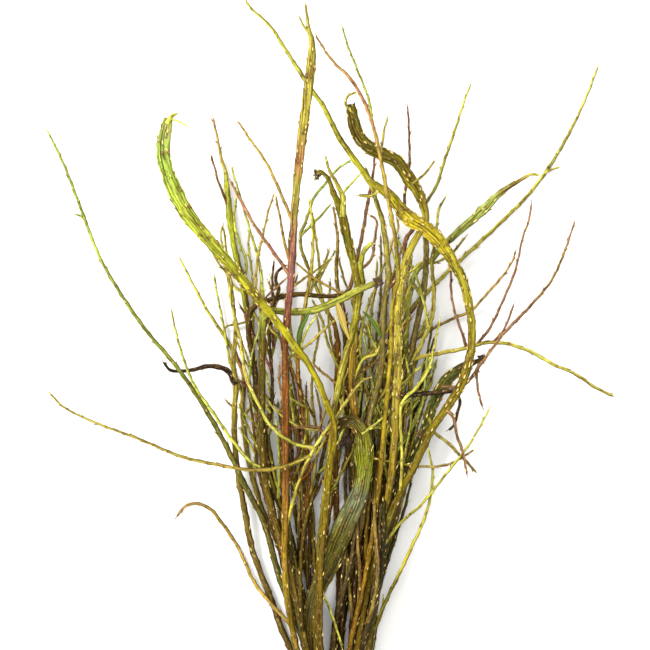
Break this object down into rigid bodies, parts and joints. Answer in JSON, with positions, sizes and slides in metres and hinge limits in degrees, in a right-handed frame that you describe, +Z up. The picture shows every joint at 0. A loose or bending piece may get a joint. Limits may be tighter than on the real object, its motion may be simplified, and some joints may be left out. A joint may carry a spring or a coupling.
{
  "type": "bunch of willow stems",
  "caption": "Cut willow stems with flattened, curling ribbon growth, held by one rubber band near their cut ends and lying on a surface.",
  "frame": {"origin": "middle of the flat spot under the rubber band, where the bunch touches the surface", "axes": "+Y along the bunch from its band towards the tips, +X across the bunch to the right as seen from above, +Z up from the surface"},
  "size_m": [0.7975, 1.0955, 0.2174],
  "materials": {
    "tan_bark": "smooth young bark, satin",
    "green_bark": "smooth young bark, satin",
    "brown_bark": "smooth young bark, satin",
    "olive_bark": "smooth young bark, satin",
    "lime_bark": "smooth young bark, satin",
    "dark_bark": "smooth young bark, satin",
    "grey_bark": "smooth young bark, satin",
    "dark_olive_bark": "smooth young bark, satin",
    "yellow_bark": "smooth young bark, satin",
    "red_bark": "smooth young bark, satin",
    "band_rubber": "plain natural rubber, matt"
  },
  "bodies": {
    "root": {"stem_01_tan_left": "tan_bark", "stem_02_light_green": "green_bark", "stem_03_brown_centre": "brown_bark", "stem_04_far_right": "olive_bark", "stem_05_right_ribbon": "lime_bark", "stem_06_dark_left": "dark_bark", "stem_07_dark_bent": "dark_bark", "stem_08_orange_inner": "brown_bark", "stem_09_dark_inner": "dark_bark", "stem_10_brown_pink": "brown_bark", "stem_11_grey_brown": "grey_bark", "stem_12_long_green": "green_bark", "stem_13_grey_fork": "grey_bark", "stem_14_dark_lobe": "dark_olive_bark", "stem_15_thin_yellow": "yellow_bark", "stem_16_hooked_fan": "olive_bark", "stem_17_olive_hook": "olive_bark", "stem_18_arched_ribbon": "yellow_bark", "stem_19_orange_climber": "yellow_bark", "stem_20_forked_olive": "olive_bark", "stem_21_green_crossbar": "olive_bark", "stem_22_red_rod": "red_bark", "stem_23_lime_ribbon": "lime_bark", "rubber_band": "band_rubber"}
  },
  "joints": []
}
